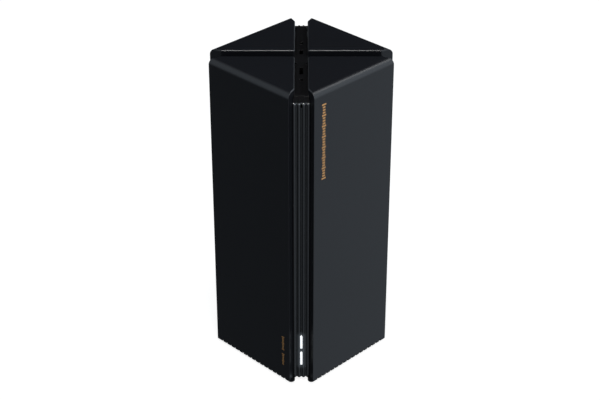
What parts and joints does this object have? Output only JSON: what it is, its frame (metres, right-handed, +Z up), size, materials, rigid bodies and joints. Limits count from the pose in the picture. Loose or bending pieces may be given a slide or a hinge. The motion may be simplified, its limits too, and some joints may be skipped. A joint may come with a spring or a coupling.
{
  "type": "mesh wifi node",
  "caption": "Square tower wifi node with ribbed corner channels, a cross-shaped top vent, lit status windows in the front corner and sockets in the rear corner.",
  "frame": {"origin": "centre of the base, on the plane the rubber feet stand on", "axes": "+Z up; the front corner with the status windows points to -Y and the rear corner with the sockets to +Y; the flat sides are at 45 degrees to X and Y"},
  "size_m": [0.096, 0.096, 0.178],
  "materials": {
    "panel_plastic": "satin moulded, fine grain",
    "strip_plastic": "satin moulded",
    "inner_plastic": "matte moulded",
    "button_plastic": "satin moulded",
    "rubber": "matte",
    "label": "matte, blank",
    "steel": "bright plated",
    "light_guide": "clear, lit white",
    "led": "phosphor and white body",
    "circuit_board": "solder mask",
    "cable": "matte sleeve",
    "switch_plastic": "matte moulded",
    "plunger_plastic": "natural moulded",
    "contact_metal": "gold plated",
    "thermal_pad": "soft silicone",
    "heatsink": "extruded"
  },
  "bodies": {
    "tower": {"front_left_panel": "panel_plastic", "front_right_panel": "panel_plastic", "rear_left_panel": "panel_plastic", "rear_right_panel": "panel_plastic", "chassis": "inner_plastic", "top_grille": "strip_plastic", "front_strip": "strip_plastic", "left_strip": "strip_plastic", "right_strip": "strip_plastic", "rear_strip": "strip_plastic", "io_plate": "inner_plastic", "base_plate": "inner_plastic", "foot_front": "rubber", "foot_rear": "rubber", "foot_left": "rubber", "foot_right": "rubber", "rating_label": "label", "base_screws": "steel", "upper_light_guide": "light_guide", "lower_light_guide": "light_guide", "upper_led": "led", "lower_led": "led", "led_board": "circuit_board", "led_board_screws": "steel", "led_ribbon_cable": "cable", "pairing_switch_body": "switch_plastic", "reset_switch_body": "switch_plastic", "main_board": "circuit_board", "board_screws": "steel", "jack_1_shield": "steel", "jack_1_insert": "switch_plastic", "jack_1_contacts": "contact_metal", "jack_2_shield": "steel", "jack_2_insert": "switch_plastic", "jack_2_contacts": "contact_metal", "jack_3_shield": "steel", "jack_3_insert": "switch_plastic", "jack_3_contacts": "contact_metal", "power_jack_body": "switch_plastic", "power_jack_pin": "contact_metal", "processor_chip": "switch_plastic", "memory_chip": "switch_plastic", "radio_chip_5g": "switch_plastic", "radio_chip_2g": "switch_plastic", "processor_shield_can": "steel", "radio_5g_shield_can": "steel", "radio_2g_shield_can": "steel", "thermal_pads": "thermal_pad", "front_heatsink": "heatsink", "rear_heatsink": "heatsink", "heatsink_screws": "steel", "antenna_5g_left": "circuit_board", "antenna_5g_right": "circuit_board", "antenna_2g_left": "circuit_board", "antenna_2g_right": "circuit_board", "antenna_cables": "cable"},
    "pairing_button": {"pairing_button": "button_plastic"},
    "pairing_plunger": {"pairing_switch_plunger": "plunger_plastic"},
    "reset_plunger": {"reset_switch_plunger": "plunger_plastic"}
  },
  "joints": [
    {"name": "pairing_button_press", "type": "slide", "parent": "tower", "child": "pairing_button", "axis": [0, -1, 0], "range_m": [0, 0.00035]},
    {"name": "pairing_plunger_press", "type": "slide", "parent": "tower", "child": "pairing_plunger", "axis": [0, -1, 0], "range_m": [0, 0.00035]},
    {"name": "reset_plunger_press", "type": "slide", "parent": "tower", "child": "reset_plunger", "axis": [0, -1, 0], "range_m": [0, 0.00025]}
  ],
  "couplings": [
    {"joint": "pairing_plunger_press", "follows": "pairing_button_press", "ratio": 1}
  ]
}
